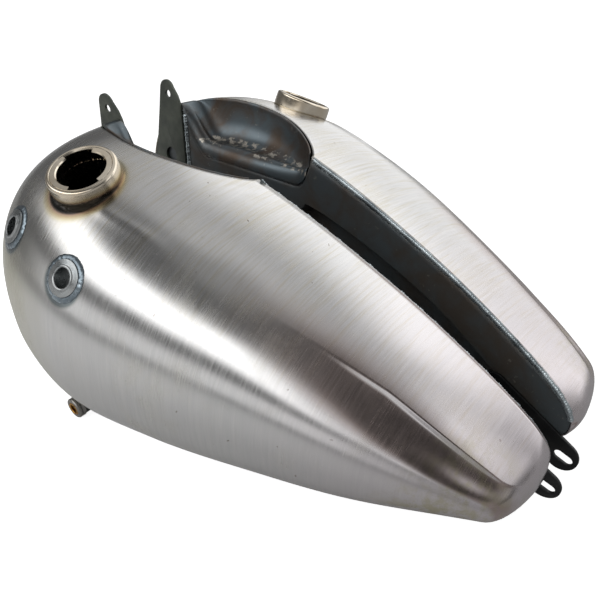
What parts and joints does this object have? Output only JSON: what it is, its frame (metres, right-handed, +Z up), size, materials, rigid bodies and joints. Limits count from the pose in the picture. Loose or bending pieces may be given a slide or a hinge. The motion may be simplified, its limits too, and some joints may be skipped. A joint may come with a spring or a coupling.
{
  "type": "fuel tank",
  "caption": "Split teardrop motorcycle fuel tank: bare steel left and right halves with inner panels, filler necks, welded bosses, front brackets and rear straps, standing as a pair.",
  "frame": {"origin": "centre of the bounding box's bottom: between the two halves, on the surface their bellies stand on", "axes": "+X towards the tail of the tank, +Y towards its right half, +Z up"},
  "size_m": [0.5551, 0.4378, 0.2559],
  "materials": {
    "skin": "bare steel, brushed across its length, with straw and blue heat tint round the fittings",
    "panel": "dark blue-black mill scale, satin",
    "neck": "turned and polished, warm tint",
    "bracket": "olive-grey satin",
    "strap": "near black, satin",
    "weld": "bright rippled weld metal",
    "boss": "machined, plated grey",
    "brass": "machined"
  },
  "bodies": {
    "root": {"bayonet_ring_left": "neck", "bayonet_ring_right": "neck", "boss_front_left": "boss", "boss_rear_left": "boss", "boss_weld_front_left": "weld", "boss_weld_rear_left": "weld", "bottom_seam_weld_left": "weld", "bottom_seam_weld_right": "weld", "bracket_weld_left": "weld", "bracket_weld_right": "weld", "filler_neck_left": "neck", "filler_neck_right": "neck", "front_bracket_left": "bracket", "front_bracket_right": "bracket", "inner_panel_left": "panel", "inner_panel_right": "panel", "outer_skin_left": "skin", "outer_skin_right": "skin", "outlet_body_left": "strap", "outlet_body_right": "strap", "outlet_collar_left": "weld", "outlet_collar_right": "weld", "outlet_insert_left": "brass", "outlet_insert_right": "brass", "rear_strap_left": "strap", "rear_strap_right": "strap", "recess_pan_left": "panel", "recess_pan_right": "panel", "tap_bung_left": "boss", "top_seam_weld_left": "weld", "top_seam_weld_right": "weld"}
  },
  "joints": []
}
